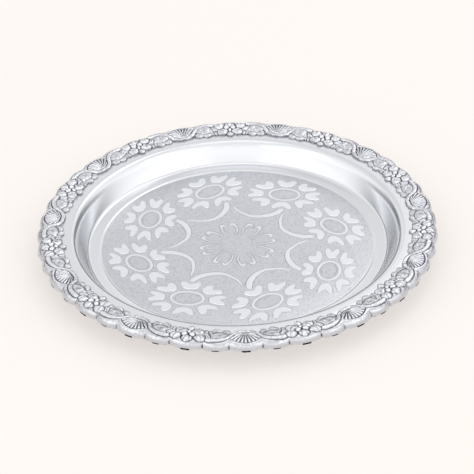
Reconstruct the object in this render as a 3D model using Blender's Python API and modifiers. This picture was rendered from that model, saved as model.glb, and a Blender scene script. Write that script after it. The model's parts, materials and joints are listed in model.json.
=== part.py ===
# Engraved round plate with an applied shell-and-flower border.
# A pressed sheet dish has a flat base, a steep wall and a flat flange. Eleven identical cast
# border sections sit on the flange, end to end, and hang over its edge.
# Units are metres, +Z is up, and the plate rests on z = 0.

import bmesh
import bpy
from math import atan2, cos, hypot, pi, radians, sin

# Dish
PLATE_DIAMETER = 0.1524
SHEET = 0.0010
FIELD_RADIUS = 0.0524
FIELD_STEP = 0.0002
MARGIN_WIDTH = 0.0044
MARGIN_RISE = 0.0004
FOOT_BEND = 0.0014
WALL_RUN = 0.0026
LIP_BEND = 0.0016
DISH_DEPTH = 0.0086
TURN_STEPS = 55
BEND_STEPS = 3

# Border section, and how it sits on the flange
SECTION_COUNT = 11
SHELL_AZIMUTH = radians(9.6)
BORDER_WIDTH = 0.0105
SEAT_GAP = 0.0003
JOINT_GAP = 0.0003
EDGE_GAP = 0.0006
BED = 0.0006
ROLL = 0.0015
SKIRT_WALL = 0.0009
SKIRT_DROP = 0.0028
SCALLOP_DEPTH = 0.0013
SCALLOP_LIFT = 0.0011
LOBE_STEPS = 4

# Silhouette lobes of one section, in order, as shares of its angle
LOBE_SHARES = (0.22, 0.28, 0.22, 0.28)

# Fluted shell
SHELL_INSET = 0.0011
SHELL_REACH = 0.0082
SHELL_HALF_ANGLE = radians(34)
SHELL_HEIGHT = 0.0009
FLUTES = 9
FLUTE_DEPTH = 0.0004

# Ribbon scroll: half of its path from the foot of the shell, as shares of the
# section's angle and of the border's width, with the ribbon's swell at each point
RIBBON_WIDTH = 0.0019
RIBBON_HEIGHT = 0.0008
RIBBON_PATH = (
    (0.000, 0.09, 0.9),
    (0.050, 0.13, 0.9),
    (0.095, 0.27, 1.0),
    (0.135, 0.50, 1.0),
    (0.180, 0.73, 1.1),
    (0.255, 0.83, 1.3),
    (0.325, 0.70, 0.6),
)

# Leaf in each scroll: one ribbed body and two round lobes
LEAF_WIDTH = 0.0058
LEAF_LENGTH = 0.0050
LEAF_HEIGHT = 0.0008
LEAF_LOBE = 0.0036
LEAF_LOBE_HEIGHT = 0.0011

# Flower cluster: one broad petal outside, a petal on each side, and three buds inside
PETAL_WIDTH = 0.0054
PETAL_LENGTH = 0.0056
PETAL_HEIGHT = 0.0013
SIDE_PETAL_WIDTH = 0.0030
SIDE_PETAL_LENGTH = 0.0046
SIDE_PETAL_HEIGHT = 0.0010
BUD = 0.0036
BUD_HEIGHT = 0.0011

# Domes of the leaf and the flower: width, length, height, then the place, as a share of the
# section's angle from the shell or from the flower's centre line, and of the border's width
LEAF_DOMES = (
    (LEAF_WIDTH, LEAF_LENGTH, LEAF_HEIGHT, 0.250, 0.46),
    (LEAF_LOBE, LEAF_LOBE, LEAF_LOBE_HEIGHT, 0.188, 0.16),
    (LEAF_LOBE, LEAF_LOBE, LEAF_LOBE_HEIGHT, 0.272, 0.14),
)
FLOWER_DOMES = (
    (PETAL_WIDTH, PETAL_LENGTH, PETAL_HEIGHT, 0.000, 0.72),
    (SIDE_PETAL_WIDTH, SIDE_PETAL_LENGTH, SIDE_PETAL_HEIGHT, 0.112, 0.68),
    (BUD, BUD, BUD_HEIGHT, 0.000, 0.16),
    (BUD, BUD, BUD_HEIGHT, 0.100, 0.25),
)
DOME_SIDES = 8
DOME_RINGS = 4

SILVER = (0.82, 0.83, 0.85, 1.0)
POLISHED = 0.16
SATIN = 0.28

# Points closer than this are one point
WELD = 0.00001

# Places that follow from the sizes above
PLATE_RADIUS = PLATE_DIAMETER / 2
FLANGE_TOP = SHEET + DISH_DEPTH
SKIRT_INNER = PLATE_RADIUS - SKIRT_WALL
FLANGE_RADIUS = SKIRT_INNER - SCALLOP_DEPTH - EDGE_GAP
SEAT_TOP = FLANGE_TOP + SEAT_GAP
BED_TOP = SEAT_TOP + BED
BORDER_INNER = PLATE_RADIUS - BORDER_WIDTH
SECTION_ANGLE = 2 * pi / SECTION_COUNT
SECTION_START = -SECTION_ANGLE * (LOBE_SHARES[0] + LOBE_SHARES[1] / 2)
FLOWER_SHARE = 0.5


def clear_scene():
    for obj in list(bpy.data.objects):
        bpy.data.objects.remove(obj, do_unlink=True)


def new_collection(name):
    collection = bpy.data.collections.new(name)
    bpy.context.scene.collection.children.link(collection)
    return collection


def metal(name, roughness):
    material = bpy.data.materials.new(name)
    material.use_nodes = True
    shader = material.node_tree.nodes["Principled BSDF"]
    shader.inputs["Base Color"].default_value = SILVER
    shader.inputs["Metallic"].default_value = 1.0
    shader.inputs["Roughness"].default_value = roughness
    material.diffuse_color = SILVER
    return material


def add_object(name, mesh, collection):
    obj = bpy.data.objects.new(name, mesh)
    collection.objects.link(obj)
    return obj


def finish_mesh(bm, name):
    bmesh.ops.remove_doubles(bm, verts=bm.verts, dist=WELD)
    bmesh.ops.recalc_face_normals(bm, faces=bm.faces)
    mesh = bpy.data.meshes.new(name)
    bm.to_mesh(mesh)
    bm.free()
    return mesh


def apply_modifiers(obj):
    evaluated = obj.evaluated_get(bpy.context.evaluated_depsgraph_get())
    mesh = bpy.data.meshes.new_from_object(evaluated)
    obj.modifiers.clear()
    obj.data = mesh


def bend(centre, radius, start, end):
    """Points of an arc in the profile plane, with its angles in degrees."""
    points = []
    for i in range(BEND_STEPS + 1):
        angle = radians(start + (end - start) * i / BEND_STEPS)
        points.append((centre[0] + radius[0] * cos(angle), centre[1] + radius[1] * sin(angle)))
    return points


def dish_profile():
    """Upper face of the dish, from the axis outward to the flange's edge."""
    wall_foot = FIELD_RADIUS + MARGIN_WIDTH
    wall_low = wall_foot + FOOT_BEND
    wall_high = wall_low + WALL_RUN
    lip = wall_high + LIP_BEND
    margin_top = SHEET + MARGIN_RISE
    profile = [(FLANGE_RADIUS, FLANGE_TOP)]
    profile += bend((lip, FLANGE_TOP - LIP_BEND), (LIP_BEND, LIP_BEND), 90, 160)
    profile += bend((wall_foot, margin_top + FOOT_BEND), (FOOT_BEND, FOOT_BEND), -20, -90)
    profile.append((FIELD_RADIUS + FIELD_STEP, SHEET + FIELD_STEP))
    profile.append((FIELD_RADIUS, SHEET))
    profile.append((0.0, SHEET))
    profile.reverse()
    return profile


def make_dish(collection):
    mesh = bpy.data.meshes.new("dish_profile")
    points = [(x, 0.0, z) for x, z in dish_profile()]
    mesh.from_pydata(points, [(i, i + 1) for i in range(len(points) - 1)], [])
    dish = add_object("dish", mesh, collection)
    turn = dish.modifiers.new("Turn", 'SCREW')
    turn.axis = 'Z'
    turn.angle = 2 * pi
    turn.steps = TURN_STEPS
    turn.render_steps = TURN_STEPS
    turn.use_merge_vertices = True
    turn.merge_threshold = 1e-6
    turn.use_smooth_shade = True
    sheet = dish.modifiers.new("Sheet", 'SOLIDIFY')
    sheet.thickness = SHEET
    sheet.offset = -1
    sheet.use_even_offset = True
    apply_modifiers(dish)
    dish.data.materials.append(metal("dish_silver", POLISHED))
    return dish


def section_angle(share):
    """Azimuth of a place in the section, with the joint gap taken off both ends."""
    gap = JOINT_GAP / BORDER_INNER
    return SECTION_START + gap / 2 + share * (SECTION_ANGLE - gap)


def spin_solid(name, profile, steps, place):
    """Turns a closed profile into a solid, and place() moves each of its points."""
    bm = bmesh.new()
    verts = [bm.verts.new((x, 0.0, z)) for x, z in profile]
    face = bm.faces.new(verts)
    geometry = [face] + list(face.edges) + verts
    bmesh.ops.spin(bm, geom=geometry, cent=(0, 0, 0), axis=(0, 0, 1), angle=1.0, steps=steps)
    for vert in bm.verts:
        turned = atan2(vert.co.y, vert.co.x)
        vert.co = place(turned, hypot(vert.co.x, vert.co.y), vert.co.z)
    return finish_mesh(bm, name)


def band_profile():
    skirt_bottom = FLANGE_TOP - SKIRT_DROP
    profile = [(BORDER_INNER, SEAT_TOP), (BORDER_INNER, BED_TOP)]
    profile += bend((PLATE_RADIUS - ROLL, BED_TOP - ROLL), (ROLL, ROLL), 90, 0)
    profile += [(PLATE_RADIUS, skirt_bottom), (SKIRT_INNER, skirt_bottom), (SKIRT_INNER, SEAT_TOP)]
    return profile


def place_on_band(turned, radius, height):
    """Spreads the steps over the lobes and draws the skirt in at each notch."""
    step = turned * len(LOBE_SHARES)
    lobe = min(int(step + 1e-6), len(LOBE_SHARES) - 1)
    along = step - lobe
    azimuth = section_angle(sum(LOBE_SHARES[:lobe]) + along * LOBE_SHARES[lobe])
    notch = (2 * along - 1) ** 2
    if radius > FLANGE_RADIUS:
        radius -= SCALLOP_DEPTH * notch
    if height < SEAT_TOP - ROLL:
        height += SCALLOP_LIFT * notch
    return radius * cos(azimuth), radius * sin(azimuth), height


def make_band(collection):
    steps = LOBE_STEPS * len(LOBE_SHARES)
    mesh = spin_solid("border_band", band_profile(), steps, place_on_band)
    return add_object("border_band", mesh, collection)


def plan(share, width_share):
    """A place on the border, from its share of the angle off the shell and of the width."""
    azimuth = share * SECTION_ANGLE
    radius = BORDER_INNER + width_share * BORDER_WIDTH
    return radius * cos(azimuth), radius * sin(azimuth)


def place_on_shell(turned, reach, height):
    """Fans the steps out from the shell's foot and sinks every other one into a flute."""
    index = round(turned * 2 * FLUTES)
    if height > BED_TOP and index % 2:
        height -= FLUTE_DEPTH * min(1.0, 2 * reach / SHELL_REACH)
    angle = (2 * turned - 1) * SHELL_HALF_ANGLE
    return BORDER_INNER + SHELL_INSET + reach * cos(angle), reach * sin(angle), height


def make_shell(collection):
    root = BED_TOP - BED / 2
    top = BED_TOP + SHELL_HEIGHT
    profile = [
        (WELD, root),
        (WELD, BED_TOP + SHELL_HEIGHT * 0.3),
        (SHELL_REACH * 0.45, top - SHELL_HEIGHT * 0.1),
        (SHELL_REACH * 0.85, top),
        (SHELL_REACH, top - SHELL_HEIGHT * 0.5),
        (SHELL_REACH, root),
    ]
    mesh = spin_solid("shell", profile, 2 * FLUTES, place_on_shell)
    return add_object("shell", mesh, collection)


def make_ribbon(collection):
    """A rounded band that dips below the shell and rises over both scrolls."""
    half = list(RIBBON_PATH)
    path = [(-share, width, swell) for share, width, swell in reversed(half[1:])] + half
    curve = bpy.data.curves.new("ribbon", 'CURVE')
    curve.dimensions = '3D'
    curve.bevel_depth = RIBBON_WIDTH / 2
    curve.bevel_resolution = 1
    curve.use_fill_caps = True
    spline = curve.splines.new('POLY')
    spline.points.add(len(path) - 1)
    for point, (share, width, swell) in zip(spline.points, path):
        x, y = plan(share, width)
        point.co = (x, y, 0.0, 1.0)
        point.radius = swell
    obj = add_object("ribbon", curve, collection)
    evaluated = obj.evaluated_get(bpy.context.evaluated_depsgraph_get())
    bm = bmesh.new()
    bm.from_mesh(bpy.data.meshes.new_from_object(evaluated))
    bpy.data.objects.remove(obj, do_unlink=True)
    flatten_to_bed(bm, RIBBON_HEIGHT / (RIBBON_WIDTH / 2))
    return add_object("ribbon", finish_mesh(bm, "ribbon"), collection)


def flatten_to_bed(bm, rise):
    """Scales the height over the bed and keeps what is below inside the bed."""
    lowest = min(vert.co.z for vert in bm.verts)
    for vert in bm.verts:
        sink = BED / 2 / -lowest
        vert.co.z = BED_TOP + vert.co.z * (rise if vert.co.z > 0 else sink)


def make_dome(name, size, share, width_share, collection):
    """A rounded lobe of the leaf or the flower, longest toward the plate's centre."""
    width, length, height = size
    bm = bmesh.new()
    bmesh.ops.create_uvsphere(bm, u_segments=DOME_SIDES, v_segments=DOME_RINGS, radius=0.5)
    azimuth = share * SECTION_ANGLE
    x0, y0 = plan(share, width_share)
    flatten_to_bed(bm, 2 * height)
    for vert in bm.verts:
        radial = vert.co.x * length
        tangential = vert.co.y * width
        vert.co.x = x0 + radial * cos(azimuth) - tangential * sin(azimuth)
        vert.co.y = y0 + radial * sin(azimuth) + tangential * cos(azimuth)
    return add_object(name, finish_mesh(bm, name), collection)


def make_leaves(collection):
    leaves = []
    for width, length, height, share, width_share in LEAF_DOMES:
        for side in (-1, 1):
            leaves.append(make_dome("leaf", (width, length, height), side * share, width_share, collection))
    return leaves


def make_flower(collection):
    petals = []
    for width, length, height, offset, width_share in FLOWER_DOMES:
        for side in ((0,) if offset == 0 else (-1, 1)):
            share = FLOWER_SHARE + side * offset
            petals.append(make_dome("petal", (width, length, height), share, width_share, collection))
    return petals


def make_section_mesh(collection):
    """Band, shell, ribbon, leaves and flower as one casting."""
    band = make_band(collection)
    pieces = [make_shell(collection), make_ribbon(collection)]
    pieces += make_leaves(collection)
    pieces += make_flower(collection)
    for piece in pieces:
        piece.hide_render = True
        piece.display_type = 'WIRE'
        join = band.modifiers.new("Cast " + piece.name, 'BOOLEAN')
        join.operation = 'UNION'
        join.solver = 'EXACT'
        join.object = piece
    apply_modifiers(band)
    bm = bmesh.new()
    bm.from_mesh(band.data)
    mesh = finish_mesh(bm, "border_section")
    for obj in [band] + pieces:
        bpy.data.objects.remove(obj, do_unlink=True)
    return mesh


def make_border(collection, cutters, frame):
    mesh = make_section_mesh(cutters)
    mesh.materials.append(metal("border_silver", SATIN))
    for i in range(SECTION_COUNT):
        section = add_object(f"border_section_{i + 1:02d}", mesh, collection)
        section.rotation_euler.z = SHELL_AZIMUTH + i * SECTION_ANGLE
        section.parent = frame


def main():
    clear_scene()
    plate = new_collection("engraved_plate")
    cutters = new_collection("engraved_plate_cutters")
    frame = add_object("plate_frame", None, plate)
    dish = make_dish(plate)
    dish.parent = frame
    make_border(plate, cutters, frame)


main()
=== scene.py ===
import json
from math import atan2, cos, pi, radians, sin

import bpy
import bmesh
import numpy as np
from mathutils import Matrix, Vector


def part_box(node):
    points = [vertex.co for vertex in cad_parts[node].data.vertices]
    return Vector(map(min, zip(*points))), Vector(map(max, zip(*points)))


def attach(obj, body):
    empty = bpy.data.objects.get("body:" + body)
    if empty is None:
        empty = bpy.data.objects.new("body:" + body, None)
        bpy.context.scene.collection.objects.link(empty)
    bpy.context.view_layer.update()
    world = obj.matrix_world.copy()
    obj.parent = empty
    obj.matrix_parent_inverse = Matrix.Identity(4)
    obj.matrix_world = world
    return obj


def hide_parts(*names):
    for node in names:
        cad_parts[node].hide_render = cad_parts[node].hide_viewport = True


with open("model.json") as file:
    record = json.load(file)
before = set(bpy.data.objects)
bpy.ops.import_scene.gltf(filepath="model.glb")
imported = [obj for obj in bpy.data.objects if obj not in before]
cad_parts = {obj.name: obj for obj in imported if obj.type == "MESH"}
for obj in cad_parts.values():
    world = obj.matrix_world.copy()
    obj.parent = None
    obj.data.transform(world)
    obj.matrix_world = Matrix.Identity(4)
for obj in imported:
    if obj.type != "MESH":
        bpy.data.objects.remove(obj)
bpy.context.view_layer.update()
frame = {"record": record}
scene = bpy.context.scene
scene.view_settings.view_transform = 'Standard'
mm = 0.001  # sizes below are in millimetres until a mesh is made

# Sizes that the pieces share
plateRadius = 76.2
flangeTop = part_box("dish")[1].z / mm
fieldTop = frame["record"]["mounts"][1]["pos_m"][2] / mm  # the mount on the well's floor
print("frame loaded, flange at", round(flangeTop, 2), "mm")


def linear(hexColour):  # sRGB hex to a linear colour with alpha
    values = [int(hexColour[i:i + 2], 16) / 255 for i in (1, 3, 5)]
    return [v / 12.92 if v <= 0.04045 else ((v + 0.055) / 1.055) ** 2.4 for v in values] + [1.0]


def addNode(tree, kind, settings=None, inputs=None):  # an input takes a value, or the socket that feeds it
    node = tree.nodes.new(kind)
    for name, value in (settings or {}).items():
        setattr(node, name, value)
    for socket, value in (inputs or {}).items():
        if isinstance(value, bpy.types.NodeSocket):
            tree.links.new(value, node.inputs[socket])
        else:
            node.inputs[socket].default_value = value
    return node


def setStops(ramp, stops):  # each stop: place, hex colour
    for _ in stops[2:]:
        ramp.elements.new(0.5)
    for element, (place, colour) in zip(ramp.elements, stops):
        element.position, element.color = place, linear(colour)


def newMaterial(name):
    material = bpy.data.materials.new(name)
    material.use_nodes = True
    return material, material.node_tree, material.node_tree.nodes["Principled BSDF"]


def newObject(name, data):
    made = bpy.data.objects.new(name, data)
    scene.collection.objects.link(made)
    return made


def meshFrom(name, points, faces):  # points in millimetres
    mesh = bpy.data.meshes.new(name)
    mesh.from_pydata((np.asarray(points) * mm).tolist(), [], faces)
    mesh.validate()
    return mesh


def shadeSmooth(mesh):
    mesh.polygons.foreach_set("use_smooth", [True] * len(mesh.polygons))


def paintOf(mesh):  # swept meshes can carry an empty slot first
    return next(m for m in mesh.materials if m)


def joinMeshes(name, meshes):  # one mesh from several, with their materials kept
    bm = bmesh.new()
    joined = bpy.data.meshes.new(name)
    for mesh in meshes:
        first = len(bm.faces)
        bm.from_mesh(mesh)
        bm.faces.ensure_lookup_table()
        for face in bm.faces[first:]:
            face.material_index = len(joined.materials)
        joined.materials.append(paintOf(mesh))
    bm.to_mesh(joined)
    bm.free()
    return joined


# Materials

silverLook = {
    "bare": "#E3E4E7",
    "hazeRough": (0.14, 0.24),  # least, most
    "hazeSpacing": 9.0,
    "satin": "#E6E7EA",
    "satinRough": 0.36,
    "motif": "#ECEDF1",
    "motifRough": 0.3,
    "grainSpacing": 0.9,
    "grainDepth": 0.03,
    # greys of the stippled ground, darker than the bare silver as painted shade
    "groundShadeTones": ((0.45, "#B6B7BC"), (0.85, "#D4D5D9")),  # lightness of the speckle, colour
    "groundRough": 0.4,
    "stippleSpacing": 0.6,  # punch marks are about 0.3 mm apart, drawn coarser so that they show
    "stippleDepth": 0.06,
    "blotchSpacing": 1.3,
    "outlineShadeTones": ((0.35, "#B2B3B9"), (0.65, "#CFD0D5")),  # shade noise, colour: greys of the painted shade round the motifs
    "lineRough": 0.5,
    "shadeNoiseSpacing": 2.0,
    "castTones": ((0.0, "#17181A"), (0.2, "#818288"), (0.45, "#CBCCD1"), (0.7, "#ECEDF0")),  # tone, colour: painted shade, nearly black at 0, up to painted highlight on raised forms
    "castRough": ((0.2, 0.5), (0.55, 0.16)),  # cavity, roughness
}


def newSilver(name, colour=silverLook["bare"]):
    material, tree, shader = newMaterial(name)
    shader.inputs["Base Color"].default_value = linear(colour)
    shader.inputs["Metallic"].default_value = 1.0
    return material, tree, shader


def polishedSilver():
    # Silver plate buffed on a wheel: mirror-like, with a faint haze that varies over the surface
    look = silverLook
    material, tree, shader = newSilver("polishedSilverPlate")
    coords = addNode(tree, "ShaderNodeTexCoord").outputs["Object"]
    haze = addNode(tree, "ShaderNodeTexNoise",
                   inputs={"Vector": coords, "Scale": 1 / (look["hazeSpacing"] * mm), "Detail": 3.0})
    least, most = look["hazeRough"]
    rough = addNode(tree, "ShaderNodeMapRange",
                    inputs={"Value": haze.outputs["Fac"], "To Min": least, "To Max": most})
    tree.links.new(rough.outputs["Result"], shader.inputs["Roughness"])
    return material


def satinSilver(name, colour, roughness):
    # The same plate after a soft brush: broad, even reflections with a fine grain
    look = silverLook
    material, tree, shader = newSilver(name, colour)
    shader.inputs["Roughness"].default_value = roughness
    coords = addNode(tree, "ShaderNodeTexCoord").outputs["Object"]
    grain = addNode(tree, "ShaderNodeTexNoise",
                    inputs={"Vector": coords, "Scale": 1 / (look["grainSpacing"] * mm), "Detail": 4.0})
    bump = addNode(tree, "ShaderNodeBump", inputs={"Height": grain.outputs["Fac"], "Strength": 0.6,
                                                   "Distance": look["grainDepth"] * mm})
    tree.links.new(bump.outputs["Normal"], shader.inputs["Normal"])
    return material


def stippledSilver():
    # Ground of the engraving, matted with a punch: painted a soft grey, shade standing in for the light that
    # each dimple scatters
    look = silverLook
    material, tree, shader = newSilver("stippledSilverGround")
    shader.inputs["Roughness"].default_value = look["groundRough"]
    coords = addNode(tree, "ShaderNodeTexCoord").outputs["Object"]
    marks = addNode(tree, "ShaderNodeTexVoronoi", {"feature": 'F1'},
                    {"Vector": coords, "Scale": 1 / (look["stippleSpacing"] * mm)})
    bump = addNode(tree, "ShaderNodeBump", inputs={"Height": marks.outputs["Distance"], "Strength": 0.7,
                                                   "Distance": look["stippleDepth"] * mm})
    tree.links.new(bump.outputs["Normal"], shader.inputs["Normal"])

    # Painted shade: each dimple is a little darker in its middle, on top of slow random blotches
    blotch = addNode(tree, "ShaderNodeTexNoise", inputs={
        "Vector": coords, "Scale": 1 / (look["blotchSpacing"] * mm), "Detail": 5.0, "Roughness": 0.7})
    dimple = addNode(tree, "ShaderNodeMath", {"operation": 'MULTIPLY_ADD'},
                     {0: marks.outputs["Distance"], 1: 0.5, 2: 0.05})
    speckle = addNode(tree, "ShaderNodeMath", {"operation": 'ADD', "use_clamp": True},
                      {0: dimple.outputs[0], 1: blotch.outputs["Fac"]})
    tone = addNode(tree, "ShaderNodeValToRGB", inputs={"Fac": speckle.outputs[0]})
    setStops(tone.color_ramp, look["groundShadeTones"])
    tree.links.new(tone.outputs["Color"], shader.inputs["Base Color"])
    return material


def outlineShadeSilver():
    # Dark band round each motif: painted shade where the raised motif meets the stippled ground; the same
    # dark silver draws the fine line inside each ring
    look = silverLook
    material, tree, shader = newSilver("paintedShadeLine")
    shader.inputs["Roughness"].default_value = look["lineRough"]
    coords = addNode(tree, "ShaderNodeTexCoord").outputs["Object"]
    shadeNoise = addNode(tree, "ShaderNodeTexNoise",
                   inputs={"Vector": coords, "Scale": 1 / (look["shadeNoiseSpacing"] * mm), "Detail": 3.0})
    tone = addNode(tree, "ShaderNodeValToRGB", inputs={"Fac": shadeNoise.outputs["Fac"]})
    setStops(tone.color_ramp, look["outlineShadeTones"])
    tree.links.new(tone.outputs["Color"], shader.inputs["Base Color"])
    return material


def castSilver():
    # Cast and plated relief: painted highlight on the raised forms, and painted shade with patina down in the
    # crevices, which are also duller
    look = silverLook
    material, tree, shader = newSilver("castSilverRelief")
    shadeAndPatina = addNode(tree, "ShaderNodeAttribute", {"attribute_name": "shadeAndPatina"}).outputs["Fac"]
    tone = addNode(tree, "ShaderNodeValToRGB", inputs={"Fac": shadeAndPatina})
    setStops(tone.color_ramp, look["castTones"])
    tree.links.new(tone.outputs["Color"], shader.inputs["Base Color"])
    (deep, deepRough), (high, highRough) = look["castRough"]
    rough = addNode(tree, "ShaderNodeMapRange", inputs={
        "Value": shadeAndPatina, "From Min": deep, "From Max": high, "To Min": deepRough, "To Max": highRough})
    dull = addNode(tree, "ShaderNodeAttribute", {"attribute_name": "dull"})
    rougher = addNode(tree, "ShaderNodeMath", {"operation": 'MAXIMUM'},
                      {0: rough.outputs["Result"], 1: dull.outputs["Fac"]})
    tree.links.new(rougher.outputs[0], shader.inputs["Roughness"])
    return material


# Dish

dishLook = {
    "turnSteps": 352,
    "fieldEdge": 52.4,
    "footCentre": 56.0,
    "footRound": (2.1, 1.8),  # half axes of the bend from the margin to the wall
    "lipCentre": 64.0,
    "lipRound": (2.6, 1.7),  # half axes of the bend from the wall to the flange
    "rim": 73.2,
    "sheet": 0.95,
}


def arcPoints(centre, radii, start, end, count):  # degrees
    angles = np.radians(np.linspace(start, end, count))
    return [(centre[0] + radii[0] * cos(a), centre[1] + radii[1] * sin(a)) for a in angles]


def dishProfile():  # radius, height: over the top from the middle out, then back along the underside
    look = dishLook
    edge, rim, top = look["fieldEdge"], look["rim"], flangeTop
    points = [(0.0, fieldTop), (20.0, fieldTop), (40.0, fieldTop), (edge - 0.3, fieldTop)]

    # Groove at the edge of the field, and the plain margin
    points += [(edge, fieldTop - 0.1), (edge + 0.3, fieldTop + 0.12), (edge + 0.7, fieldTop + 0.22)]
    points += [(54.6, fieldTop + 0.3), (55.6, fieldTop + 0.38)]
    points += arcPoints((look["footCentre"], fieldTop + 2.22), look["footRound"], -85, -30, 10)

    # Wall, lip and flange
    points += [(58.8, 3.85), (59.7, 5.4), (60.3, 6.6), (60.85, top - 1.85), (61.35, top - 1.3)]
    points += arcPoints((look["lipCentre"], top - look["lipRound"][1]), look["lipRound"], 145, 90, 14)
    points += [(65.5, top - 0.04), (rim, top - 0.06)]

    sheet = look["sheet"]
    under = [(rim, top - sheet), (63.0, top - sheet), (62.0, top - 1.5), (59.6, 1.9), (58.2, 0.4)]
    under += [(56.8, 0.05), (54.0, 0.0), (30.0, 0.0), (0.0, 0.0)]
    return points, under


def makeDish():
    points, under = dishProfile()
    profile = points + under
    steps = dishLook["turnSteps"]
    angles = 2 * pi * np.arange(steps) / steps
    verts, faces, kinds, rings = [], [], [], []
    for radius, height in profile:
        first = len(verts)
        if radius == 0:
            rings.append([first] * steps)
            verts.append((0.0, 0.0, height))
            continue
        rings.append(list(range(first, first + steps)))
        verts += [(radius * cos(a), radius * sin(a), height) for a in angles]

    look = silverLook
    paints = [stippledSilver(), polishedSilver(),
              satinSilver("satinSilverPlate", look["satin"], look["satinRough"])]
    ground, wall, flange = range(3)  # slots of the three paints
    onField, onFlange = range(3), range(len(points) - 3, len(points) + 1)
    for k in range(len(profile) - 1):
        for i in range(steps):
            j = (i + 1) % steps
            faces.append(list(dict.fromkeys([rings[k][i], rings[k + 1][i], rings[k + 1][j], rings[k][j]])))
            kinds.append(ground if k in onField else flange if k in onFlange else wall)
    mesh = meshFrom("dishBody", verts, faces)
    mesh.polygons.foreach_set("material_index", kinds)
    shadeSmooth(mesh)
    for paint in paints:
        mesh.materials.append(paint)
    piece = newObject("dishBody", mesh)
    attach(piece, "root")
    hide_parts("dish")
    print("dish:", len(mesh.polygons), "faces")


# Geometry Nodes trees

def newTree(name, inputs):
    tree = bpy.data.node_groups.new(name, 'GeometryNodeTree')
    tree.interface.new_socket("Geometry", in_out='INPUT', socket_type='NodeSocketGeometry')
    for label, kind, value in inputs + [("Material", "Material", None)]:
        socket = tree.interface.new_socket(label, in_out='INPUT', socket_type="NodeSocket" + kind)
        if value is not None:
            socket.default_value = value
    tree.interface.new_socket("Geometry", in_out='OUTPUT', socket_type='NodeSocketGeometry')
    return tree, addNode(tree, "NodeGroupInput").outputs


def endTree(tree, geometry, material):
    real = addNode(tree, "GeometryNodeRealizeInstances", inputs={"Geometry": geometry})
    paint = addNode(tree, "GeometryNodeSetMaterial",
                    inputs={"Geometry": real.outputs[0], "Material": material})
    addNode(tree, "NodeGroupOutput", inputs={0: paint.outputs[0]})
    return tree


def runTree(name, mesh, tree, values):  # the plain mesh that a tree makes of another
    holder = newObject(name + "Source", mesh)
    modifier = holder.modifiers.new("Build", 'NODES')
    modifier.node_group = tree
    for item in tree.interface.items_tree:
        if item.in_out == 'INPUT' and item.name in values:
            modifier[item.identifier] = values[item.name]
    holder.update_tag()
    made = bpy.data.meshes.new_from_object(holder.evaluated_get(bpy.context.evaluated_depsgraph_get()))
    made.name = name
    bpy.data.objects.remove(holder, do_unlink=True)
    return made


def padTree():
    # Fills a closed outline and raises it in three steps, each a little smaller, for a soft edge
    tree, given = newTree("Raised Pad", [("Height", "Float", 0.0), ("Sunk", "Float", 0.0),
                                         ("Top Scale", "Float", 0.9)])
    curve = addNode(tree, "GeometryNodeMeshToCurve", inputs={"Mesh": given["Geometry"]})
    filled = addNode(tree, "GeometryNodeFillCurve", {"mode": 'NGONS'}, {"Curve": curve.outputs[0]})
    below = addNode(tree, "ShaderNodeMath", {"operation": 'MULTIPLY'}, {0: given["Sunk"], 1: -1.0})
    down = addNode(tree, "ShaderNodeCombineXYZ", inputs={"Z": below.outputs[0]})
    foot = addNode(tree, "GeometryNodeTransform",
                   inputs={"Geometry": filled.outputs[0], "Translation": down.outputs[0]})
    up = addNode(tree, "ShaderNodeCombineXYZ", inputs={"Z": 1.0})
    rises = [given["Sunk"]]
    for part in (0.6, 0.4):  # of the height over the ground
        rise = addNode(tree, "ShaderNodeMath", {"operation": 'MULTIPLY'}, {0: given["Height"], 1: part})
        rises.append(rise.outputs[0])
    body = foot.outputs[0]
    for rise in rises:
        raised = addNode(tree, "GeometryNodeExtrudeMesh", {"mode": 'FACES'}, {
            "Mesh": body, "Offset": up.outputs[0], "Offset Scale": rise, "Individual": False})
        shrunk = addNode(tree, "GeometryNodeScaleElements", inputs={
            "Geometry": raised.outputs["Mesh"], "Selection": raised.outputs["Top"],
            "Scale": given["Top Scale"]})
        body = shrunk.outputs[0]
    under = addNode(tree, "GeometryNodeFlipFaces", inputs={"Mesh": foot.outputs[0]})
    both = addNode(tree, "GeometryNodeJoinGeometry")
    tree.links.new(body, both.inputs[0])
    tree.links.new(under.outputs[0], both.inputs[0])
    welded = addNode(tree, "GeometryNodeMergeByDistance",
                     inputs={"Geometry": both.outputs[0], "Distance": 0.001 * mm})
    return endTree(tree, welded.outputs[0], given["Material"])


def lineTree():
    # Sweeps a flat oval along a path, as wide as the path's own width attribute says
    tree, given = newTree("Chased Line", [("Extra Width", "Float", 0.0), ("Flatness", "Float", 0.1)])
    own = addNode(tree, "GeometryNodeInputNamedAttribute", {"data_type": 'FLOAT'}, {"Name": "width"})
    width = addNode(tree, "ShaderNodeMath", {"operation": 'ADD'},
                    {0: own.outputs[0], 1: given["Extra Width"]})
    curve = addNode(tree, "GeometryNodeMeshToCurve", inputs={"Mesh": given["Geometry"]})
    level = addNode(tree, "GeometryNodeSetCurveNormal", inputs={"Curve": curve.outputs[0]})
    circle = addNode(tree, "GeometryNodeCurvePrimitiveCircle", inputs={"Resolution": 10, "Radius": 1.0})
    flat = addNode(tree, "ShaderNodeCombineXYZ", inputs={"X": 1.0, "Y": given["Flatness"], "Z": 1.0})
    profile = addNode(tree, "GeometryNodeTransform",
                      inputs={"Geometry": circle.outputs[0], "Scale": flat.outputs[0]})
    swept = addNode(tree, "GeometryNodeCurveToMesh", inputs={
        "Curve": level.outputs[0], "Profile Curve": profile.outputs[0], "Scale": width.outputs[0],
        "Fill Caps": True})
    return endTree(tree, swept.outputs[0], given["Material"])


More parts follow.
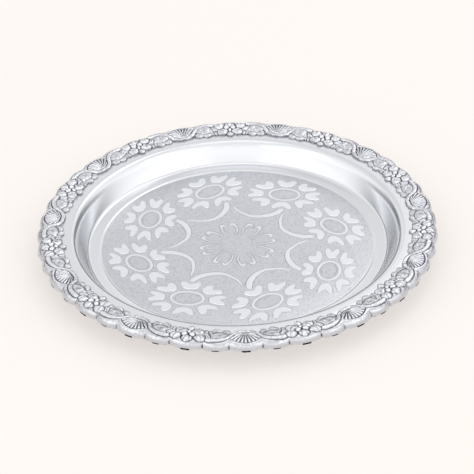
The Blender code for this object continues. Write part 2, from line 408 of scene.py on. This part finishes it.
def roundTree():
    # Sets copies round an ellipse, each facing out of it
    tree, given = newTree("Set Round", [
        ("Count", "Int", 8), ("Long Radius", "Float", 0.0), ("Short Radius", "Float", 0.0),
        ("First Angle", "Float", 0.0), ("Turn", "Float", 0.0), ("Lift", "Float", 0.0)])
    long, short = given["Long Radius"], given["Short Radius"]
    index = addNode(tree, "GeometryNodeInputIndex")
    step = addNode(tree, "ShaderNodeMath", {"operation": 'DIVIDE'}, {0: 2 * pi, 1: given["Count"]})
    turn = addNode(tree, "ShaderNodeMath", {"operation": 'MULTIPLY'},
                   {0: index.outputs[0], 1: step.outputs[0]})
    angle = addNode(tree, "ShaderNodeMath", {"operation": 'ADD'},
                    {0: turn.outputs[0], 1: given["First Angle"]})
    cosine = addNode(tree, "ShaderNodeMath", {"operation": 'COSINE'}, {0: angle.outputs[0]}).outputs[0]
    sine = addNode(tree, "ShaderNodeMath", {"operation": 'SINE'}, {0: angle.outputs[0]}).outputs[0]
    x = addNode(tree, "ShaderNodeMath", {"operation": 'MULTIPLY'}, {0: cosine, 1: long})
    y = addNode(tree, "ShaderNodeMath", {"operation": 'MULTIPLY'}, {0: sine, 1: short})
    place = addNode(tree, "ShaderNodeCombineXYZ",
                    inputs={"X": x.outputs[0], "Y": y.outputs[0], "Z": given["Lift"]})

    # Which way the ellipse faces there
    outX = addNode(tree, "ShaderNodeMath", {"operation": 'MULTIPLY'}, {0: cosine, 1: short})
    outY = addNode(tree, "ShaderNodeMath", {"operation": 'MULTIPLY'}, {0: sine, 1: long})
    facing = addNode(tree, "ShaderNodeMath", {"operation": 'ARCTAN2'},
                     {0: outY.outputs[0], 1: outX.outputs[0]})
    heading = addNode(tree, "ShaderNodeMath", {"operation": 'ADD'},
                      {0: facing.outputs[0], 1: given["Turn"]})
    turned = addNode(tree, "ShaderNodeCombineXYZ", inputs={"Z": heading.outputs[0]})
    points = addNode(tree, "GeometryNodePoints",
                     inputs={"Count": given["Count"], "Position": place.outputs[0]})
    copies = addNode(tree, "GeometryNodeInstanceOnPoints", inputs={
        "Points": points.outputs[0], "Instance": given["Geometry"], "Rotation": turned.outputs[0]})
    return endTree(tree, copies.outputs[0], given["Material"])


# Engraving on the well floor

engravingLook = {
    "flowerCount": 8,
    "flowerRadius": 39.0,
    "firstFlower": 15.49,  # degrees
    "flowerTilt": 110.0,  # long axis of a flower against the plate's radius, degrees
    "petalCount": 8,
    "petalSpread": 9.2,
    "flowerStretch": (1.21, 0.85),  # the petals are drawn round a circle, then pulled to an oval
    "ringSize": (6.05, 4.1),
    "ringLine": 0.6,  # half widths from here on
    "echoSize": (4.6, 2.8),  # fine line inside the ring
    "echoLine": 0.16,
    "discRadius": 6.4,
    "discLine": 0.22,
    "outlineWidth": 0.13,
    "rosetteOutline": 1.8,  # times the width of the other outlines
    "padHeight": 0.14,
    "sunk": 0.1,
    "padScale": 0.975,
    "lineFlatness": 0.05,
    "outlineFlatness": 0.03,
    "petalPoints": 56,
    "scrollPoints": 48,
    "rosettePoints": 26,
    "discPoints": 96,
}

# Half of a flower petal's outline: across, outward
petalHalf = [(0.0, -2.6), (1.25, -2.4), (2.3, -1.6), (2.95, -0.3), (3.4, 1.1), (3.35, 2.2), (2.65, 2.8),
             (1.9, 2.6), (1.15, 1.9), (0.5, 1.2), (0.0, 0.9)]
# Middle line of a scroll: radius, degrees from its flower, half width
scrollPath = [(29.6, -8.2, 0.7), (28.4, -7.7, 1.2), (25.4, -6.4, 1.3), (22.6, -2.0, 1.2), (21.0, 3.2, 1.05),
              (20.1, 10.4, 0.9), (20.4, 17.5, 0.75), (22.9, 27.0, 0.6), (26.3, 32.0, 0.4)]
# Half of a rosette petal's line, from the tip to its foot on the disc: across, outward, half width
rosetteHalf = [(0.0, 12.7, 0.3), (0.7, 13.1, 0.4), (1.5, 13.9, 0.7), (2.2, 14.0, 0.8), (2.7, 13.0, 0.6),
               (2.9, 11.4, 0.5), (2.8, 9.6, 0.45), (2.2, 8.2, 0.42), (1.5, 7.2, 0.38)]


def smoothPath(points, count, closed=False):  # Catmull-Rom curve through the points
    p = np.asarray(points, float)
    p = np.vstack([p[-1:], p, p[:2]]) if closed else np.vstack([2 * p[0] - p[1], p, 2 * p[-1] - p[-2]])
    t = np.linspace(0, len(p) - 3 - 1e-6, count, endpoint=not closed)
    i = t.astype(int)
    f = (t - i)[:, None]
    a, b, c, d = p[i], p[i + 1], p[i + 2], p[i + 3]
    square, cube = 2 * a - 5 * b + 4 * c - d, 3 * b - a - 3 * c + d
    return 0.5 * (2 * b + (c - a) * f + square * f ** 2 + cube * f ** 3)


def pathMesh(name, points, closed=False):  # each point: x, y, half width
    mesh = bpy.data.meshes.new(name)
    count = len(points)
    edges = [(i, i + 1) for i in range(count - 1)] + ([(count - 1, 0)] if closed else [])
    mesh.from_pydata([(p[0] * mm, p[1] * mm, 0.0) for p in points], edges, [])
    values = mesh.attributes.new("width", 'FLOAT', 'POINT')
    values.data.foreach_set("value", [p[2] * mm for p in points])
    return mesh


def ovalPath(size, line, count=64):
    return [(size[0] * cos(a), size[1] * sin(a), line) for a in 2 * pi * np.arange(count) / count]


def addEngraving(name, meshes):
    piece = newObject(name, joinMeshes(name, meshes))
    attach(piece, "root")
    print(name + ":", len(piece.data.polygons), "faces")


def makeEngraving():
    look = engravingLook
    pads, lines, rounds = padTree(), lineTree(), roundTree()
    bright = satinSilver("burnishedSilverMotif", silverLook["motif"], silverLook["motifRough"])
    dark = outlineShadeSilver()
    raised = {"Height": look["padHeight"] * mm, "Sunk": look["sunk"] * mm, "Top Scale": look["padScale"],
              "Material": bright}
    drawn = {"Flatness": look["lineFlatness"], "Extra Width": 0.0, "Material": bright}
    shadow = {"Flatness": look["outlineFlatness"], "Extra Width": look["outlineWidth"] * mm, "Material": dark}
    petals = {"Count": look["petalCount"], "Long Radius": look["petalSpread"] * mm,
              "Short Radius": look["petalSpread"] * mm}
    stretch = Matrix.Diagonal((*look["flowerStretch"], 1.0, 1.0))
    flowers = {"Count": look["flowerCount"], "Long Radius": look["flowerRadius"] * mm,
               "Short Radius": look["flowerRadius"] * mm, "First Angle": radians(look["firstFlower"]),
               "Turn": radians(look["flowerTilt"]), "Lift": fieldTop * mm}
    straight = {**flowers, "Turn": 0.0}

    # Flowers: eight heart-shaped petals round an oval ring
    half = [(y, x, 0.0) for x, y in petalHalf]
    outline = smoothPath(half + [(x, -y, w) for x, y, w in half[-2:0:-1]], look["petalPoints"], closed=True)
    ring = ovalPath(look["ringSize"], look["ringLine"])
    echo = ovalPath(look["echoSize"], look["echoLine"])
    parts = []
    for name, tree, values in (("petal", pads, raised), ("petalLine", lines, shadow)):
        one = runTree(name, pathMesh(name, outline, True), tree, values)
        parts.append(runTree(name + "s", one, rounds, {**petals, "Material": values["Material"]}))
        parts[-1].transform(stretch)
    parts.append(runTree("ring", pathMesh("ring", ring, True), lines, drawn))
    parts.append(runTree("ringLine", pathMesh("ringLine", ring, True), lines, shadow))
    parts.append(runTree("echo", pathMesh("echo", echo, True), lines, {**shadow, "Extra Width": 0.0}))
    addEngraving("engravedFlowers", [
        runTree("flower", part, rounds, {**flowers, "Material": paintOf(part)}) for part in parts])

    # Scrolls between the flowers
    scroll = [(r * cos(radians(a)) - look["flowerRadius"], r * sin(radians(a)), w)
              for r, a, w in smoothPath(scrollPath, look["scrollPoints"])]
    parts = [runTree("scroll", pathMesh("scroll", scroll), lines, drawn),
             runTree("scrollLine", pathMesh("scrollLine", scroll), lines, shadow)]
    addEngraving("engravedScrolls", [
        runTree("scrolls", part, rounds, {**straight, "Material": paintOf(part)}) for part in parts])

    # Rosette: open petals round a plain disc
    edge = look["discRadius"]
    half = smoothPath([(y - edge, x, w) for x, y, w in rosetteHalf], look["rosettePoints"]).tolist()
    petal = half[::-1] + [(x, -y, w) for x, y, w in half[1:]]
    disc = ovalPath((edge, edge), look["discLine"], look["discPoints"])
    centre = {"Count": 1, "Long Radius": 0.0, "Short Radius": 0.0, "Lift": fieldTop * mm}
    around = {**straight, "Long Radius": edge * mm, "Short Radius": edge * mm}
    parts = []
    for values in (drawn, shadow):
        wider = {**values, "Extra Width": values["Extra Width"] * look["rosetteOutline"]}
        one = runTree("rosettePetal", pathMesh("rosettePetal", petal), lines, wider)
        parts.append(runTree("rosettePetals", one, rounds, {**around, "Material": values["Material"]}))
        one = runTree("disc", pathMesh("disc", disc, True), lines, values)
        parts.append(runTree("discs", one, rounds, {**centre, "Material": values["Material"]}))
    addEngraving("engravedRosette", parts)


# Border

borderLook = {
    "repeats": 11,
    "firstShell": 9.6,  # degrees
    "pitchRadius": 70.0,  # where the length of a repeat is measured
    "cellSize": 0.13,
    "seat": 0.02,  # gap over the flange
    "topWidth": 9.0,
    "shellShare": 0.28,  # of a repeat
    "scrollShare": 0.22,
    "notchDepth": 1.15,
    "notchLift": 0.9,  # how much higher the skirt ends at a notch
    "outerGap": 0.02,
    "besideLift": 0.4,  # how much higher the lobes beside the shell end
    "rollOut": 2.3,
    "rollDown": 1.6,
    "rollSteps": 23,
    "skirtDrop": 1.95,
    "skirtWall": 0.9,
    "skirtHeight": 0.7,
    "skirtSteps": 9,
    "skirtLength": 1.4,
    "skirtTuck": 0.35,
    "bed": 0.3,
    "lift": 0.6,  # how far the outer forms stand above the inner ones
    "crease": 0.4,
    "fanFoot": 67.9,  # radius of the shell's foot
    "fanTop": 74.4,  # radius of its outer edge, in the middle
    "fanSag": 1.7,  # how far that edge falls back at the sides
    "fanWidth": 4.6,  # half width of the shell
    "fanHalf": 1.0,  # radians from the middle of the shell to its side
    "fluteCount": 9,
    "fluteDepth": 0.7,
    "channel": 0.24,
    "channelDepth": 0.4,
    "handWork": 0.3,  # how far the leaves and petals stray from their drawn places
    "straySeeds": (3, 5),
    "strayPasses": 60,  # more passes give broader waves
    "unevenness": 0.1,
    "unevenSeed": 11,
    "unevenPasses": 6,
    "ribbonSteps": 80,
    "edgeSteps": 60,
}

# Painted tones of the cast relief: the tone is 0 in the darkest painted shade and 1 on the brightest painted
# highlight
toneLook = {
    "contrast": 1.4,
    "blurPasses": 40,
    "lineShade": 0.56,
    "patina": 0.15,
    "patinaSeed": 17,
    "patinaPasses": 20,
    # painted shade over the whole skirt; the next value lightens it towards its lower edge
    "skirtShade": 0.45,
    "skirtLighter": 0.2,  # added towards its lower edge
    # painted dark line along the skirt's very edge
    "edgeShade": 0.6,
    "skirtDull": 0.26,
    "inside": (0.55, 0.5),  # cavity and dull out of sight
    "underLobeShade": (1.2, 0.07),  # painted black shade under a lobe: how far down it starts, how far it spreads
}

# Half of the ribbon's middle line: along the border from the shell, radius, half width
ribbonPath = [(0, 67.2, 0.8), (2.2, 67.5, 0.8), (3.9, 68.5, 0.8), (5.1, 69.95, 0.8), (6.0, 71.2, 0.85),
              (7.1, 72.15, 0.85), (8.7, 72.95, 0.9), (10.6, 73.35, 0.9), (12.5, 73.35, 0.85),
              (13.8, 73.0, 0.6)]

# Rounded forms: along, radius, half width, half length, lean in degrees, height
leafLobes = [(7.0, 68.0, 1.9, 1.8, -20, 0.75), (10.4, 67.7, 2.1, 1.9, 5, 0.85),
             (13.3, 68.8, 1.5, 1.9, 25, 0.7)]
leafBody = (9.5, 70.35, 4.0, 2.7, 4, 1.2)
sidePetals = [(6.3, 70.3, 1.3, 2.2, 30, 0.9), (5.9, 68.0, 1.0, 1.4, 10, 0.7),
              (4.3, 72.2, 2.15, 2.0, 16, 1.25), (3.0, 68.6, 2.6, 2.1, 30, 1.1)]
tonguePetal = (0.0, 73.1, 2.0, 1.9, 0, 1.25)
buds = [(0.0, 66.9, 1.5, 1.6, 0, 0.9), (1.5, 70.9, 1.1, 1.2, 40, 1.5), (0.0, 69.4, 0.9, 1.0, 0, 1.4)]


def repeatLength():
    return 2 * pi * borderLook["pitchRadius"] / borderLook["repeats"]


def lobeEnds():  # where the lobe of the shell ends, and the lobe beside it
    shellHalf = borderLook["shellShare"] / 2 * repeatLength()
    return shellHalf, shellHalf + borderLook["scrollShare"] * repeatLength()


def rising(value, start, span):  # 0 up to the start, and 1 a span further on
    return np.clip((value - start) / span, 0, 1)


def bell(value, width):
    return np.exp(-(value / width) ** 2)


def layForm(height, rise, outside, depth=None, wide=1.0):  # sets a form on the relief, in a channel
    depth = borderLook["channelDepth"] if depth is None else depth
    channel = height - depth * np.clip(1 - outside / (borderLook["channel"] * wide), 0, 1) ** 0.7
    return np.where(outside > 0, channel, np.maximum(height * 0.4, rise))


def shadeRoundForm(line, outside, strength):  # clears painted shade from the top of a form and paints shade round its foot
    return np.maximum(np.where(outside < -0.1, 0, line), strength * bell(outside + 0.05, 0.2))


def dome(along, radius, form, power=0.45):  # height, distance outside, and place across and along the form
    cx, cy, halfWidth, halfLength, lean, rise = form
    c, s = cos(radians(lean)), sin(radians(lean))
    x, y = along - cx, radius - cy
    u, v = (x * c - y * s) / halfWidth, (x * s + y * c) / halfLength
    q = u * u + v * v
    outside = (np.sqrt(q) - 1) * min(halfWidth, halfLength)
    return 0.25 + (rise - 0.25) * np.clip(1 - q, 0, 1) ** power, outside, u, v


def ribbonDistance(side, radius):  # from its middle line, positive towards the shell and the skirt
    path = smoothPath(ribbonPath, borderLook["ribbonSteps"])
    best = np.full(side.shape, 1e9)
    signed, halfWidth, pathRadius = np.zeros(side.shape), np.zeros(side.shape), np.zeros(side.shape)
    for k, (x, y, w) in enumerate(path):
        step = path[min(k + 1, len(path) - 1)] - path[max(k - 1, 0)]
        dx, dy = side - x, radius - y
        d = np.hypot(dx, dy)
        near = d < best
        best = np.where(near, d, best)
        signed = np.where(near, np.where(step[0] * dy - step[1] * dx > 0, d, -d), signed)
        halfWidth, pathRadius = np.where(near, w, halfWidth), np.where(near, y, pathRadius)
    return signed, halfWidth, pathRadius


def relief(along, radius, stray):
    # Height over the seat and share of painted shade, for a place along one repeat: 0 at the shell
    look = borderLook
    shellEnd, scrollEnd = lobeEnds()
    side = np.abs(along)
    across = repeatLength() / 2 - side
    height = look["bed"] + 0.45 * rising(radius, 68, 5)
    loose = look["handWork"] * rising(side, 6.0, 2.0)
    strayAlong, strayRadius = side + loose * stray[0], radius + loose * stray[1]
    strayAcross = np.abs(across) + loose * stray[1]

    # Leaf under the ribbon's hump: a curled edge round a soft hollow, and lobes below it
    crease = np.minimum(np.abs(side - shellEnd), np.abs(side - scrollEnd))
    # line holds painted shade: in the creases between lobes, along the leaf's vein and round its foot
    line = 0.9 * bell(crease, 0.22) * rising(radius, 74.6, 0.6)
    for form in leafLobes:
        rise, outside = dome(strayAlong, strayRadius, form)[:2]
        height = np.maximum(height, np.where(outside < 0, rise, 0))
    rise, outside, u, v = dome(strayAlong, strayRadius, leafBody)
    hollow = 0.28 * np.exp(-((u + 0.1) ** 2 / 0.12 + v * v / 0.3)) + 0.12 * bell(u - 0.5, 0.1)
    height = layForm(height, rise - hollow, outside, 0.08)
    vein = 0.5 * bell(np.hypot(u, v) - 0.64, 0.09) * np.clip(0.8 - u, 0, 1)
    line = np.maximum(line, np.where(outside < 0, vein, 0))
    line = np.maximum(line, 0.3 * bell(outside, 0.3))

    # Shell: a dished fan of flutes that spread from its foot
    fan, reach = np.arctan2(along, radius - look["fanFoot"]), np.hypot(along, radius - look["fanFoot"])
    edge = look["fanTop"] - look["fanSag"] * (along / look["fanWidth"]) ** 2 - radius
    rib = np.abs(np.cos(fan / look["fanHalf"] * look["fluteCount"] * pi / 2)) ** 0.7
    rise = 0.5 + 0.3 * np.sin(rising(reach, 0.6, 6.0) * pi) + 0.3 * (along / look["fanWidth"]) ** 2
    flute = (1 - rib) * rising(reach, 0.8, 0.8) * rising(edge, 0, 0.5)
    flute = flute * rising(look["fanHalf"] + 0.15 - np.abs(fan), 0, 0.2)
    rise = rise - look["fluteDepth"] * flute

    # Skirt: broad smooth lobes, with a sharp crease where two of them meet
    skirt = look["skirtHeight"] - look["crease"] * np.clip(1 - crease / 0.3, 0, 1) * rising(radius, 74.4, 0.8)
    rim = 0.55 * np.clip(1 - np.abs(edge) / 0.36, 0, 1)

    # Ribbon: a rounded moulding that climbs from the foot of the shell to the hump over the leaf
    signed, halfWidth, pathRadius = ribbonDistance(side, radius)
    outer = np.where(edge > 0, rise, skirt) - rim
    inShell = rising(shellEnd + 0.6 - side, 0, 0.4)
    # Painted shade along the shell's rim and down its flutes
    line = np.maximum(line, inShell * (0.85 * bell(edge, 0.2) + 0.95 * flute * (edge > 0)))
    outer = np.where(side < shellEnd + 0.6, outer, skirt)
    height = np.where(signed > halfWidth, outer, height)
    share = np.clip(np.abs(signed) / halfWidth, 0, 1)
    climb = rising(pathRadius, 67.0, 6.0)
    rise = 0.4 + 0.3 * climb + 0.38 * np.sqrt(1 - share ** 2.5)
    groove = np.where(signed > 0, 0.75 - 0.35 * climb, 0.12)
    height = layForm(height, rise, np.abs(signed) - halfWidth, groove, 1.6)
    line = np.where(np.abs(signed) < halfWidth, 0, line)
    # Painted shade along the ribbon's outer flank
    line = np.maximum(line, (0.9 - 0.35 * climb) * bell(signed - halfWidth + 0.05, 0.18))

    # Flower, with its line half a repeat from the shell; its outer petals flow into the skirt
    flow = rising(75.4 - radius, 0, 1.6)
    for form in sidePetals:
        rise, outside, u, v = dome(strayAcross, strayRadius, form)
        fold = 0.28 * bell(u - 0.1, 0.14) * np.clip(v + 0.6, 0, 1)
        height = layForm(height, rise - fold, outside, look["channelDepth"] * flow)
        line = shadeRoundForm(line, outside, 0.42 * flow)
    rise, outside, u, v = dome(np.abs(across), radius, tonguePetal, 0.6)
    ridge = 0.3 * bell(u - 0.45 - 0.12 * v, 0.12)
    rise = np.maximum(rise - ridge, skirt * rising(radius, 74.6, 1.2))
    height = layForm(height, rise, outside, look["channelDepth"] * flow, 1.3)
    line = shadeRoundForm(line, outside, 0.45 * flow)
    for form in buds:
        rise, outside = dome(strayAcross, strayRadius, form)[:2]
        height = layForm(height, rise, outside)
        line = shadeRoundForm(line, outside, 0.48)
    return np.maximum(height, 0.05) + look["lift"] * rising(radius, 67.5, 5), line


def innerEdge(along):  # scalloped inner outline: the lowest reach of the ribbon, leaves and buds
    side = np.abs(along)
    across = np.abs(repeatLength() / 2 - side)
    edge = np.full(along.shape, 68.0)
    circles = [(side, x, y, w, w) for x, y, w in smoothPath(ribbonPath, borderLook["edgeSteps"])]
    circles += [(side, *form[:4]) for form in leafLobes]
    circles += [(across, *form[:4]) for form in sidePetals + buds]
    for place, x, y, halfWidth, halfLength in circles:
        q = np.clip(1 - ((place - x) / halfWidth) ** 2, 0, 1)
        edge = np.where(q > 0, np.minimum(edge, y - halfLength * np.sqrt(q)), edge)
    return edge


def notch(along):  # 0 at the middle of a silhouette lobe and 1 at the notches between lobes
    half, side = repeatLength() / 2, np.abs(along)
    shellEnd, scrollEnd = lobeEnds()
    middle = (shellEnd + scrollEnd) / 2
    t = np.where(side > shellEnd, (side - middle) / (scrollEnd - middle), side / shellEnd)
    return np.where(side > scrollEnd, (half - side) / (half - scrollEnd), t) ** 2


def softNoise(seed, rows, columns, passes):  # the last column repeats the first, so that sections meet
    values = np.random.default_rng(seed).normal(size=(rows, columns))
    for _ in range(passes):
        values = (np.roll(values, 1, 1) + np.roll(values, -1, 1) + 2 * values) / 4
        padded = np.pad(values, ((1, 1), (0, 0)), mode="edge")
        values = (padded[:-2] + padded[2:] + 2 * values) / 4
    values /= np.abs(values).max()
    return np.hstack([values, values[:, :1]])


def sectionRows(inner, crest, level, bottom):
    # Each row: radius in the pattern, then radius, height and outward direction of its base
    look = borderLook
    rows = []
    for t in np.linspace(0, 1, int(look["topWidth"] / look["cellSize"])):
        radius = inner + (crest - inner) * t
        rows.append((radius, radius, level, 0.0, 1.0))
    out, down = look["rollOut"], look["rollDown"]
    for a in np.radians(np.linspace(90, 0, look["rollSteps"]))[1:]:
        tilt = atan2(sin(a) * out, cos(a) * down)
        rows.append((crest + (out + down) / 2 * (pi / 2 - a), crest + out * cos(a),
                     level + down * (sin(a) - 1), cos(tilt), sin(tilt)))
    last = rows[-1]
    for t in np.linspace(0, 1, look["skirtSteps"])[1:]:
        rows.append((last[0] + look["skirtLength"] * t, last[1] - look["skirtTuck"] * t * t,
                     last[2] + (bottom - last[2]) * t, 0.98, -0.2 * t))
    return rows


def tonesOf(relieved, line, beyond):  # cavity and dull of the relief; beyond is the distance past the crest
    look = toneLook
    blurred = relieved[:, :-1].copy()
    for _ in range(look["blurPasses"]):
        padded = np.pad(blurred, ((1, 1), (0, 0)), mode="edge")
        blurred = (padded[:-2] + padded[2:] + np.roll(blurred, 1, 1) + np.roll(blurred, -1, 1)) / 4
    rowCount, columns = blurred.shape
    blurred = np.hstack([blurred, blurred[:, :1]])
    # Painted shade and highlight: darker where the relief lies below its blurred self, lighter where it
    # stands above; then random patina
    shadeAndPatina = np.clip(0.5 + (relieved - blurred) * look["contrast"], 0.2, 1)
    shadeAndPatina = shadeAndPatina + look["patina"] * softNoise(look["patinaSeed"], rowCount, columns, look["patinaPasses"])
    # Painted shade on the skirt, lighter towards its lower edge, and a painted dark line along its very edge
    onSkirt = rising(beyond, 0.6, 1.2)
    skirtShade = look["skirtShade"] + look["skirtLighter"] * rising(beyond, 2.7, 0.8)
    atEdge = rising(beyond, 4.05, 0.3)
    shadeAndPatina = shadeAndPatina + (skirtShade - shadeAndPatina) * onSkirt
    # Painted shade along the marked lines
    shadeAndPatina = shadeAndPatina * (1 - look["lineShade"] * line) * (1 - look["edgeShade"] * atEdge)
    return shadeAndPatina, look["skirtDull"] * onSkirt


def sectionMesh():
    # One repeat as a closed solid: relief on top, rolled skirt outside, flat seat below
    look = borderLook
    repeat = repeatLength()
    shellEnd, scrollEnd = lobeEnds()
    columns = int(repeat / look["cellSize"])
    start = -(look["shellShare"] / 2 + look["scrollShare"]) * repeat
    run = start + repeat * np.arange(columns + 1) / columns
    along = (run + repeat / 2) % repeat - repeat / 2  # place in the repeating pattern
    drop = notch(along)
    beside = rising(np.abs(along), shellEnd, 0.8) * rising(scrollEnd - np.abs(along), 0, 0.8)
    seat = flangeTop + look["seat"]
    level = np.full(along.shape, seat)
    inner = innerEdge(along)
    crest = plateRadius - look["outerGap"] - look["notchDepth"] * drop - look["rollOut"]
    bottom = flangeTop - look["skirtDrop"] + look["notchLift"] * drop + look["besideLift"] * beside

    rows = sectionRows(inner, crest, level, bottom)
    grid, baseRadius, baseHeight = (np.array([row[k] for row in rows]) for k in range(3))
    outRadius, outHeight = (np.array([row[k] for row in rows])[:, None] for k in (3, 4))
    stray = [softNoise(seed, len(rows), columns, look["strayPasses"]) for seed in look["straySeeds"]]
    relieved, line = relief(np.broadcast_to(along, grid.shape), grid, stray)
    uneven = softNoise(look["unevenSeed"], len(rows), columns, look["unevenPasses"])
    relieved = relieved + uneven * look["unevenness"]
    reach = baseRadius + outRadius * (relieved - look["skirtHeight"] - look["lift"])
    reach = np.minimum(reach, plateRadius)
    height = baseHeight + outHeight * relieved

    # Rounded lower edge, the inside of the skirt, and the seat
    wall = look["skirtWall"]
    edge, low = reach[-1], height[-1]
    closing = [(edge - wall * 0.3, low - 0.12), (edge - wall * 0.8, low - 0.02), (edge - wall, low + 0.3),
               (edge - wall, level), (inner, level)]
    reach = np.vstack([reach] + [c[0] for c in closing])
    height = np.vstack([height] + [c[1] for c in closing])

    shadeAndPatina, dull = tonesOf(relieved, line, grid - crest)
    hidden = [np.full((len(closing), columns + 1), value) for value in toneLook["inside"]]
    shadeAndPatina, dull = np.vstack([shadeAndPatina, hidden[0]]), np.vstack([dull, hidden[1]])
    # Painted black shade under the middle of each lobe
    down, spread = toneLook["underLobeShade"]
    shadeAndPatina = np.where((height < seat - down) & (drop < spread), 0.0, shadeAndPatina)

    azimuth = run / look["pitchRadius"]
    points = np.stack([reach * np.cos(azimuth), reach * np.sin(azimuth), height], -1).reshape(-1, 3)
    rowCount, width = reach.shape
    faces = []
    for k in range(rowCount):
        n = (k + 1) % rowCount
        for i in range(columns):
            faces.append((k * width + i, n * width + i, n * width + i + 1, k * width + i + 1))
    faces.append([k * width for k in range(rowCount)][::-1])  # the two flat ends
    faces.append([k * width + columns for k in range(rowCount)])
    mesh = meshFrom("borderSection", points, faces)
    for label, field in (("shadeAndPatina", shadeAndPatina), ("dull", dull)):
        values = mesh.attributes.new(label, 'FLOAT', 'POINT')
        values.data.foreach_set("value", field.astype(np.float32).ravel())
    shadeSmooth(mesh)
    return mesh


def makeBorder():
    look = borderLook
    mesh = sectionMesh()
    tree = roundTree()
    material = castSilver()
    for i in range(look["repeats"]):
        turn = radians(look["firstShell"]) + i * 2 * pi / look["repeats"]
        name = f"borderSection{i + 1:02d}"
        values = {"Count": 1, "Turn": turn, "Material": material}
        piece = newObject(name, runTree(name, mesh.copy(), tree, values))
        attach(piece, "root")
        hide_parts(f"border_section_{i + 1:02d}")
    print("border:", look["repeats"], "sections of", len(mesh.polygons), "faces")


# Stage

stageLook = {
    "cream": "#FEF9F5",
    "floorColour": "#B5B0AD",
    "floorSize": 3.0,  # metres
    "floorDrop": 0.1,
    "floorGlow": 0.482,
    "elevation": 34.62,  # degrees, as the roll is
    "roll": -1.777,
    "distance": 0.71573,  # metres
    "focalPixels": 1864.6,
    "framePixels": 474,
    "centrePixel": (237.577, 244.302),
    "filmWidth": 36.0,
}


def makeCamera():
    look = stageLook
    data = bpy.data.cameras.new("camera")
    data.sensor_width = look["filmWidth"]
    data.lens = look["focalPixels"] / look["framePixels"] * data.sensor_width
    half = look["framePixels"] / 2
    data.shift_x = (half - look["centrePixel"][0]) / look["framePixels"]
    data.shift_y = (look["centrePixel"][1] - half) / look["framePixels"]
    camera = newObject("camera", data)
    tilt = Matrix.Rotation(radians(90 - look["elevation"]), 4, 'X')
    roll = Matrix.Rotation(radians(look["roll"]), 4, 'Z')
    place = tilt @ Vector((0, 0, look["distance"])) + Vector((0, 0, fieldTop * mm))
    camera.matrix_world = Matrix.Translation(place) @ tilt @ roll
    scene.camera = camera


def makeFloor():
    # Cream paper: it takes the plate's shadow, and shows as cream to the camera and in the metal
    look = stageLook
    size, drop = look["floorSize"] / mm, look["floorDrop"]
    corners = [(-size, -size, -drop), (size, -size, -drop), (size, size, -drop), (-size, size, -drop)]
    mesh = meshFrom("floor", corners, [(0, 1, 2, 3)])
    floor = newObject("floor", mesh)
    material, tree, shader = newMaterial("creamPaper")
    shader.inputs["Base Color"].default_value = linear(look["floorColour"])
    shader.inputs["Roughness"].default_value = 1.0
    shader.inputs["Specular IOR Level"].default_value = 0.0
    shader.inputs["Emission Color"].default_value = linear(look["cream"])
    rays = addNode(tree, "ShaderNodeLightPath").outputs
    seen = rays["Is Camera Ray"]
    for ray in ("Is Glossy Ray", "Is Transmission Ray"):
        seen = addNode(tree, "ShaderNodeMath", {"operation": 'MAXIMUM'}, {0: seen, 1: rays[ray]}).outputs[0]
    glow = addNode(tree, "ShaderNodeMath", {"operation": 'MULTIPLY'}, {0: seen, 1: look["floorGlow"]})
    tree.links.new(glow.outputs[0], shader.inputs["Emission Strength"])
    mesh.materials.append(material)


# Studio walls and ceiling, as the plate sees them: height of a direction, colour
worldLook = {
    "back": ((0, "#6A6B6C"), (0.25, "#858687"), (0.42, "#F1F2F3"), (0.56, "#D6D7D8"), (0.7, "#D3D4D5"),
             (1, "#DEDFE0")),
    "front": ((0, "#EDEDEE"), (0.12, "#F2F3F3"), (0.35, "#FDFEFF"), (0.65, "#F1F2F2"), (1, "#DEDFE0")),
    "turnOver": (0.75, -0.2),  # where the back wall gives way to the front one
    "strength": 1.3,
}


def makeWorld():
    look = worldLook
    world = bpy.data.worlds.new("studio")
    world.use_nodes = True
    scene.world = world
    tree = world.node_tree
    coords = addNode(tree, "ShaderNodeTexCoord")
    split = addNode(tree, "ShaderNodeSeparateXYZ", inputs={"Vector": coords.outputs["Generated"]})
    walls = []
    for stops in (look["back"], look["front"]):
        wall = addNode(tree, "ShaderNodeValToRGB", inputs={"Fac": split.outputs["Z"]})
        setStops(wall.color_ramp, stops)
        walls.append(wall.outputs["Color"])
    start, end = look["turnOver"]
    share = addNode(tree, "ShaderNodeMapRange", {"interpolation_type": 'SMOOTHSTEP'},
                    {"Value": split.outputs["Y"], "From Min": start, "From Max": end})
    both = addNode(tree, "ShaderNodeMix", {"data_type": 'RGBA'},
                   {"Factor": share.outputs["Result"], 6: walls[0], 7: walls[1]})
    background = tree.nodes["Background"]
    background.inputs["Strength"].default_value = look["strength"]
    tree.links.new(both.outputs[2], background.inputs["Color"])


# Lamps that aim at the plate: place and size in metres, power in watts
softboxes = {
    "windowSoftbox": ((0.35, 0.55, 0.75), (0.5, 0.4), 0.5),
    "leftSoftbox": ((-0.6, -0.5, 0.6), (0.7, 0.5), 0.55),
    "rightSoftbox": ((0.6, -0.5, 0.6), (0.7, 0.5), 0.55),
    "topSoftbox": ((0.0, 0.05, 1.1), (0.5, 0.5), 0.3),
}


def makeSoftbox(name, place, size, power):
    data = bpy.data.lights.new(name, 'AREA')
    data.shape = 'RECTANGLE'
    data.size, data.size_y = size
    data.energy = power
    lamp = newObject(name, data)
    lamp.location = place
    lamp.rotation_euler = Vector(place).to_track_quat('Z', 'Y').to_euler()


makeCamera()
makeFloor()
makeWorld()
for name, values in softboxes.items():
    makeSoftbox(name, *values)
print("stage ready")
makeDish()
makeEngraving()
makeBorder()
